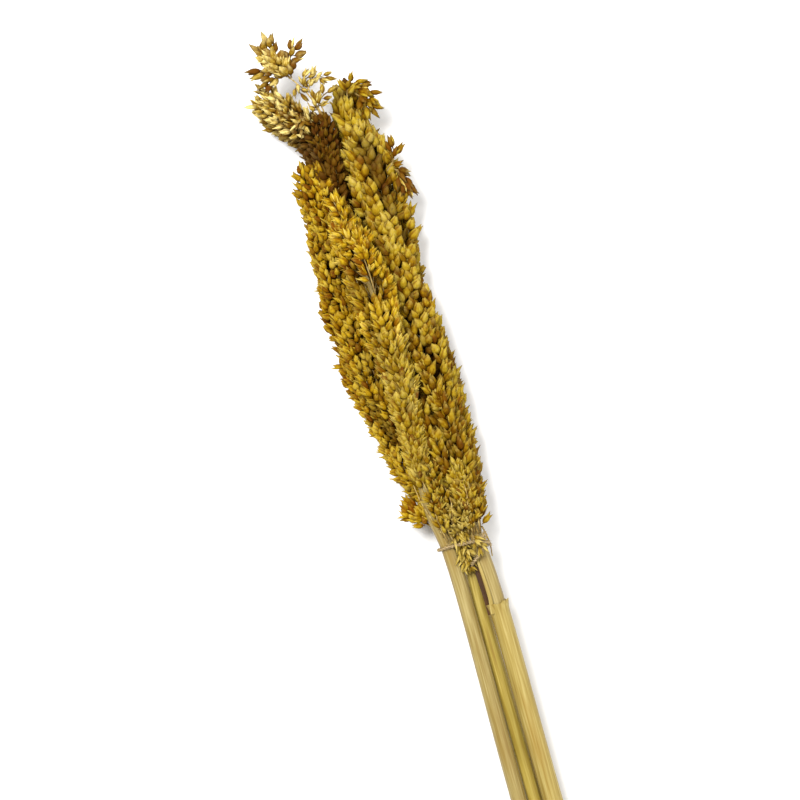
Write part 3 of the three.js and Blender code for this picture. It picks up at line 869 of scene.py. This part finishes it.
# Twine: two twisted strands, one turn round the stems and a last stretch over the right stem.
twineLook = {"radius": 0.85, "strandRadius": 0.5, "strandOff": 0.42, "twist": 3.4, "startAngle": 62,
             "startY": 1.1, "turnDrop": 2.7, "ringStep": 0.4, "hairGap": 0.9, "hair": (0.6, 1.6),
             "hairRadius": (0.05, 0.04, 0.02),
             "end": [(7.6, -4.4, 21), (4.6, -7, 20.2), (2.4, -9, 17.6), (1.6, -10.4, 15)]}


def twineMaterial():
    nodes = Nodes("twine", 0.85)
    place = nodes.objectPlace()
    fibres = nodes.noise(place, 1500.0, 4.0)
    broad = nodes.noise(place, 260.0, 2.0)
    colour = nodes.ramp(fibres, [(0.32, (98, 76, 44)), (0.5, (148, 126, 84)),
                                 (0.68, (194, 172, 128))])
    colour = nodes.mix(nodes.span(broad, 0.45, 0.7, 0.0, 0.5), colour, (164, 142, 102))
    nodes.bump(fibres, 0.8, 0.0004)
    return nodes.finish(colour, nodes.span(fibres, 0.3, 0.7, 0.8, 0.95))


twineStuff = twineMaterial()


def loopPoints():
    stemsAtTie = []
    for stalk in (stalkA, stalkB, stalkC):
        middle = next(p for p in stalk["line"] if p[1] == 0)
        stemsAtTie.append((np.array(middle, float), stalk["stemRadius"] + 0.1 + twineLook["radius"]))
    points = []
    count = 44
    for i in range(count + 1):
        angle = math.radians(twineLook["startAngle"]) + 2 * math.pi * i / count
        out = np.array((math.cos(angle), 0, math.sin(angle)))
        middle, reach = max(stemsAtTie, key=lambda one: one[0] @ out + one[1])
        point = middle + out * reach
        point[1] = twineLook["startY"] - twineLook["turnDrop"] * i / count
        if not points or np.linalg.norm(point - points[-1]) > 0.5:
            points.append(point)
    return points + [np.array(p, float) for p in twineLook["end"]]


# Two strands twisted round each other along points, with loose fibres that stand out.
def makeStrands(name, points):
    route = Route(points, 0.3 * mm)
    heap = Heap()
    ringStep = twineLook["ringStep"] * mm
    count = int(route.length / ringStep)
    long = modelTwig(7, count)
    rng = random.Random(17)
    frames = []
    across = unit(np.cross(route.forward(0), (0.1, 1, 0.2)))
    for distance in np.linspace(0, route.length, count):
        forward = route.forward(distance)
        across = unit(across - forward * (across @ forward))  # carried along without turning
        frames.append((route.at(distance), forward, across, np.cross(forward, across)))
    for strand in range(2):
        spots = long["spots"].copy()
        for ring in range(count):
            at, forward, across, over = frames[ring]
            turn = ring * ringStep / (twineLook["twist"] * mm) * 2 * math.pi + strand * math.pi
            off = (across * math.cos(turn) + over * math.sin(turn)) * twineLook["strandOff"] * mm
            those = abs(long["spots"][:, 2] * (count - 1) - ring) < 0.5
            flat = long["spots"][those]
            pinch = 0.35 if ring in (0, count - 1) else 1
            radius = twineLook["strandRadius"] * mm * pinch * rng.uniform(0.93, 1.07)
            spots[those] = at + off + radius * (flat[:, :1] * across + flat[:, 1:2] * over)
        heap.add(long, spots, 0.5, 0, 1)
    hairRadii = np.array(twineLook["hairRadius"]) * mm
    for i in range(int(route.length / (twineLook["hairGap"] * mm))):
        at, forward, across, over = frames[rng.randrange(count)]
        turn = rng.uniform(0, 6.28)
        out = across * math.cos(turn) + over * math.sin(turn)
        reach = rng.uniform(*twineLook["hair"]) * mm
        foot = at + out * 0.7 * mm
        line = [foot, foot + (out * 0.5 + forward * 0.7) * reach, foot + (out * 0.7 + forward * 1.6) * reach]
        heap.addTwig(line, hairRadii, 0.9, 0, 1, hairModel)
    return heap.build(name, twineStuff)


twineLine = inFrame(loopPoints())
settle(makeStrands("twine_turn", twineLine), "twine", "twine_loop")
knotStart = twineLine[0] + np.array((0, 0, 0.5)) * mm
knotLoops = [(-1.3, 1.0, 0.0), (-0.5, -1.2, 0.7), (1.0, -1.0, 0.3), (1.2, 0.7, 0.6), (-0.3, 1.2, 1.2),
             (-1.2, -0.1, 0.9), (0.3, -1.1, 0.1), (1.9, -1.9, 0.3), (3.2, -4.0, -1.5)]
knotTail = [(-0.6, -0.3, 0.2), (0.2, 1.1, 1.1), (0.9, 2.4, 0.9), (1.9, 3.5, 0.5)]
settle(makeStrands("twine_knot_loops", knotStart + np.array(knotLoops) * mm), "twine", "twine_knot")
settle(makeStrands("twine_knot_tail", knotStart + np.array(knotTail) * mm), "twine", "twine_knot")
print("the twine is tied")

# Sprigs and tufts: each line is an ear that starts at the line's first point.
sprigs = {
    "loose_sprig": {
        "husk": "straw", "slot": "grain_gold", "seed": 51, "bare": 0.12, "spacing": 1.5, "tilt": (25, 60),
        "kinds": ("open", "plump", "plump"), "size": (0.8, 1.06), "tone": (0.25, 0.95), "rusty": 0.4,
        "lines": [
        [(-32, 231.6, 24.4), (-36, 237.4, 25), (-40.4, 242.4, 25), (-43.4, 246.6, 24)],
        [(-32, 231.6, 24.4), (-35, 238.4, 26), (-37.6, 245, 25.6), (-39, 249.6, 24)],
        [(-31.4, 232, 24), (-31.6, 238, 24.4), (-29.4, 242, 24.4), (-26.8, 244.6, 24)],
        [(-35, 235.6, 24), (-40, 237.6, 23.6), (-43.6, 238.6, 23), (-46, 238.6, 22.4)],
        [(-33.4, 233.6, 23), (-38, 234, 23), (-42.6, 232.6, 22.4)],
        [(-33.6, 234, 25), (-37.6, 239.6, 26.4), (-40, 243.4, 26)]],
        "fine": [
        [(-29.6, 228.4, 24.4), (-30, 226, 24.6), (-28.6, 223.4, 24)],
        [(-27, 226.6, 24.6), (-25.4, 229.6, 25), (-22.6, 231, 25)],
        [(-25.6, 224.4, 24.6), (-22.6, 228, 25), (-19, 229.6, 25), (-16, 228.6, 24.6)],
        [(-22.2, 215.6, 24), (-21, 218.6, 25), (-18, 221, 25.2), (-15.6, 222, 24.6)],
        [(-22.8, 214.6, 24), (-23.6, 217.6, 25.2), (-22, 220, 25.2)],
        [(-26, 208, 22.6), (-28.6, 212, 23.8), (-31.2, 212, 24), (-32, 208.6, 23.4)]],
        "twigs": [
        [(-20.4, 204, 20.6), (-22.8, 215.6, 24), (-26.4, 224.4, 24.6), (-33, 233, 24.4)],
        [(-19.2, 206, 20.6), (-21.4, 213, 23.6), (-24, 221, 24.6), (-25, 228, 25)],
        [(-21.4, 205, 20.4), (-24, 212, 23.4), (-26.6, 219, 24)],
        [(-18.6, 206, 20.6), (-20, 213, 23.4), (-21.4, 219.6, 25)]]},
    "top_sprig": {
        "husk": "olive", "slot": "grain_rust", "seed": 52, "bare": 0.18, "spacing": 1.35, "tilt": (25, 62),
        "kinds": ("open", "long"), "size": (0.78, 0.98), "tone": (0.2, 0.8), "rusty": 0.35, "lines": [
        [(-8, 217, 19.6), (-7, 221.4, 21), (-4, 223.6, 21.6), (-1, 222.8, 21), (1.4, 219.6, 20)],
        [(-3, 221, 21), (0.6, 218.6, 21), (3.6, 214.6, 19.8)],
        [(-4, 219, 21), (-1, 215.6, 21), (1.6, 211, 19.8)]]},
    "hanging_sprig": {
        "husk": "straw", "slot": "grain_rust", "seed": 53, "bare": 0.3, "spacing": 1.5, "tilt": (10, 36),
        "kinds": ("open", "long"), "size": (0.78, 1.0), "tone": (0.1, 0.5), "rusty": 0.9, "lines": [
        [(5.0, 181, 18.8), (7.8, 179.2, 20.2), (9.4, 175.4, 20), (10.4, 170.8, 19.2)],
        [(6.4, 180.4, 19.6), (8.8, 176.6, 18.6), (10.0, 172.8, 17.8)]]},
    "stray_cluster": {
        "husk": "gold", "slot": "grain_gold", "seed": 54, "bare": 0.4, "spacing": 1.1, "tilt": (14, 40),
        "kinds": ("plump", "long", "open"), "size": (0.74, 0.92), "tone": (0.2, 0.8), "rusty": 0.25,
        "lines": [
        [(-10.4, 8.4, 9.6), (-14.4, 13.6, 11.4), (-18.6, 18, 12.6), (-22, 23, 12.4)],
        [(-11, 9.6, 9.6), (-15, 13.6, 12.8), (-19, 16.6, 13.6), (-22.6, 20, 13.4)],
        [(-11, 10, 9), (-14, 15.6, 11), (-16.4, 19.6, 12), (-18.4, 23, 11.6)]]},
    "base_tuft": {
        "husk": "olive", "slot": "grain_olive", "seed": 55, "bare": 0.2, "spacing": 1.6, "tilt": (18, 48),
        "kinds": ("long", "open"), "size": (0.64, 0.88), "tone": (0.1, 0.8), "chaffy": 0.6, "rusty": 0.06,
        "lines": [
        [(-1.6, 3, 14.4), (-2.0, 10, 17), (-3.0, 19, 19.6), (-4, 29, 21)],
        [(1.4, 4, 14.8), (2.0, 11, 17.6), (2.0, 19, 19.6), (1.4, 28, 20)],
        [(-2.4, 8, 16.4), (-4.0, 14, 19.4), (-6, 21, 22.4), (-7.4, 28, 24)],
        [(1.8, 9, 17), (3.0, 15, 19.8), (3.4, 22, 21.2), (2.8, 30, 21)],
        [(-4.4, 9, 19.6), (-6.4, 15, 22), (-8, 22, 24.4), (-9.6, 31, 27)],
        [(-6, 4, 20), (-7.6, 10, 22), (-9, 17, 24.4), (-10.6, 25, 27)],
        [(5.6, 5, 19.6), (6.8, 10, 20.8), (7.4, 16, 21.4), (7, 24, 22)],
        [(9.4, 5, 18), (10, 10, 19), (10.4, 16, 19.6), (10, 24, 20)],
        [(-2.6, 16, 21), (-4.4, 24, 24), (-6.4, 32, 26.6), (-8, 41, 29)],
        [(3.6, 12, 20), (5, 20, 21.4), (5.4, 28, 22.4), (4, 38, 24.4)],
        [(7.4, 10, 20), (8.4, 18, 20.8), (8.2, 27, 22), (7, 36, 23.6)]],
        "twigs": [
        [(-6.2, 3, 18.4), (-9.2, 16, 21.6), (-12.6, 30, 21)],
        [(-8.4, 6, 19.8), (-11, 16, 21.4), (-12.4, 26, 23.4), (-14.6, 33, 22)],
        [(-9.4, 8, 19.6), (-13, 18, 20.6), (-15.4, 25, 21), (-17, 33, 20)],
        [(-4, 6, 17.6), (-6, 16, 21.6), (-5.4, 24, 25), (-7.6, 34, 22)],
        [(0, 6, 16.6), (1.2, 14, 21), (0.4, 22, 23), (2.4, 34, 24)],
        [(-4.6, 4, 17.6), (-7.4, 15, 21), (-9, 29, 22.4)],
        [(-3.6, 2, 16.8), (-5.2, 14, 20), (-6.4, 32, 21)],
        [(5.2, 6, 19.4), (3.4, 18, 20.4), (1.6, 34, 24)],
        [(6.4, 5, 19.6), (6.6, 17, 20.8), (4.4, 36, 25)],
        [(9.4, 6, 18.4), (9.6, 16, 19), (8.4, 32, 23)],
        [(8, 4, 19.2), (6.6, 12, 20), (7.6, 26, 22.4)],
        [(-7, 3, 19.8), (-9.4, 14, 24), (-10.4, 24, 26.6), (-12.4, 34, 24.6)],
        [(-4.4, 3, 18.6), (-6.2, 12, 23.4), (-6.2, 22, 26.6), (-8.6, 30, 24)],
        [(-1.6, 4, 17.6), (-2.6, 13, 22.4), (-1.4, 22, 25.4), (-3.8, 32, 22)],
        [(5.6, 4, 20), (5, 14, 23), (6.6, 24, 25.4), (5, 36, 24)],
        [(9, 4, 18.8), (9.4, 14, 21.4), (8.4, 24, 24), (9.6, 34, 22)]]},
    "tie_tuft": {
        "node": "base_tuft", "husk": "pale", "slot": "grain_olive", "seed": 57, "bare": 0.2, "spacing": 1.4,
        "tilt": (12, 50), "kinds": ("long", "open"), "size": (0.5, 0.78), "tone": (0.2, 0.8), "chaffy": 0.9,
        "rusty": 0.02, "lines": [
        [(-2.8, 14, 17.4), (-2.6, 7, 17), (-2.2, -1, 16.4), (-1.4, -9, 15.4)],
        [(0.6, 10, 16.4), (0.8, 4, 16.6), (0.8, -3, 16), (0.4, -10, 15)],
        [(-0.6, 12, 16), (0.8, 5, 15.6), (1.0, -2, 14.6)],
        [(4.4, 4, 20.6), (6, 0.8, 21.4), (7, -2.2, 20.8)],
        [(-1.6, 2, 16.4), (-2.6, 7, 18.8), (-3.4, 13, 21.2), (-5.6, 19, 24)],
        [(0.8, 4, 17), (0.6, 9, 19.6), (1.6, 14, 21.6), (0, 20, 23.6)],
        [(3.4, 5, 18.6), (4.4, 10, 20.4), (4.2, 16, 22.4)]]},
    "side_tuft": {
        "husk": "olive", "slot": "grain_ochre", "seed": 56, "bare": 0.42, "spacing": 1.5, "tilt": (18, 46),
        "kinds": ("plump", "long"), "size": (0.7, 0.9), "tone": (0.3, 0.8), "rusty": 0.1, "lines": [
        [(9.6, 9, 15), (10.8, 14, 16), (11.6, 19, 16), (12, 25, 15.6)],
        [(10, 10, 13), (11.8, 16, 12.6), (12.6, 22, 12.6)]], "twigs": [
        [(10.4, 7, 15), (11.8, 2, 15.4), (12.4, -3, 14.8), (12.2, -8, 14.4)]]},
}
fineLook = {"kinds": ("long", "open"), "size": (0.6, 0.84), "rusty": 0.05}
for name, look in sprigs.items():
    heap = Heap(look["seed"])
    rng = random.Random(look["seed"])
    growLines(heap, look["lines"], look, rng)
    growLines(heap, look.get("fine", []), {**look, **fineLook}, rng)
    for line in look.get("twigs", []):
        heap.addTwig(Route(inFrame(line)).spots, np.array((0.42, 0.38, 0.28)) * mm, 0.7, 0, 1)
    piece = heap.build(name + "_ears", husks[look["husk"]], twigStuff)
    settle(piece, look["slot"], look.get("node", name))
print("the sprigs are in place")

# The dry strip of sheath beside the right stem, over a dark band of painted shadow. Half widths in
# millimetres.
sheathShadowBand = strawMaterial("painted_shadow_band", (94, 60, 14), (72, 42, 6), (48, 27, 3), (64, 38, 5))
stripLooks = {
    "dry_strip_curl": {"line": [(6.5, -34.5, 18.0), (6.7, -26, 18.8), (5.8, -16, 18.6), (4.6, -7, 17.6)],
                       "low": 1.0, "high": 0.6, "stuff": sheathStraw},
    # A dark brown band of painted shadow under the strip, filling the gap between the stems.
    "dry_strip_painted_shadow": {"line": [(5.9, -35, 13.6), (5.3, -26, 14), (4.2, -16, 14.2), (3.4, -8, 14.4)],
                         "low": 1.7, "high": 1.5, "stuff": sheathShadowBand},
}


def makeStrip(name, look):
    route = Route(inFrame(look["line"]))

    def spotOf(distance, angle):
        side, over = route.sides(distance)
        width = np.interp(distance / route.length, (0, 1), (look["low"], look["high"])) * mm
        curl = 0.3 * mm * math.sin(angle) + 0.25 * mm * math.cos(angle) ** 2
        spot = route.at(distance) + side * width * math.cos(angle) + over * curl
        return spot, (width * math.cos(angle), curl, distance)

    return extrudedAlong(name, 12, np.linspace(0, route.length, 24), spotOf, look["stuff"])


for name, look in stripLooks.items():
    settle(makeStrip(name, look), "sheath_straw", "dry_strip")
print("the dry strip is in place")

# The floor, the light and the camera.
floorLook = {"size": 6.0, "colour": (0.94, 0.94, 0.94)}
selectNothing()
bpy.ops.mesh.primitive_plane_add(size=floorLook["size"], location=(0, 0, 0))
floor = bpy.context.active_object
floor.name = "floor"
floorStuff = bpy.data.materials.new("floor_paper")
floorStuff.use_nodes = True
floorShader = floorStuff.node_tree.nodes["Principled BSDF"]
floorShader.inputs["Base Color"].default_value = (*floorLook["colour"], 1)
floorShader.inputs["Roughness"].default_value = 0.9
floor.data.materials.append(floorStuff)

# Places in metres from the middle of the heads.
lightLooks = {
    "key": {"from": (-0.34, 0.5, 1.08), "size": 0.55, "power": 20.5},
    "fill": {"from": (0.7, -0.1, 1.1), "size": 1.4, "power": 10.0},
}
roomLight = 0.44
cameraLook = {"lens": 100, "lean": 12.5, "middle": (-14.5, 73.5, 16), "wide": 378}
middle = inFrame(cameraLook["middle"])
for name, look in lightLooks.items():
    lamp = bpy.data.objects.new(name, bpy.data.lights.new(name, "AREA"))
    lamp.data.shape = "DISK"
    lamp.data.size = look["size"]
    lamp.data.energy = look["power"]
    lamp.location = middle + np.array(look["from"])
    lamp.rotation_euler = (Vector(middle) - lamp.location).to_track_quat("-Z", "Y").to_euler()
    bpy.context.scene.collection.objects.link(lamp)

world = bpy.data.worlds.new("room")
world.use_nodes = True
background = world.node_tree.nodes["Background"]
background.inputs["Color"].default_value = (1, 1, 1, 1)
background.inputs["Strength"].default_value = roomLight
bpy.context.scene.world = world
bpy.context.scene.view_settings.view_transform = "Standard"

camera = bpy.data.objects.new("camera", bpy.data.cameras.new("camera"))
camera.data.lens = cameraLook["lens"]
reach = cameraLook["wide"] * mm * cameraLook["lens"] / camera.data.sensor_width
camera.location = middle + up * reach
camera.rotation_euler = (0, 0, -math.radians(cameraLook["lean"]))
camera.data.clip_start = 0.05
bpy.context.scene.collection.objects.link(camera)
bpy.context.scene.camera = camera
print("the floor, the light and the camera are set")
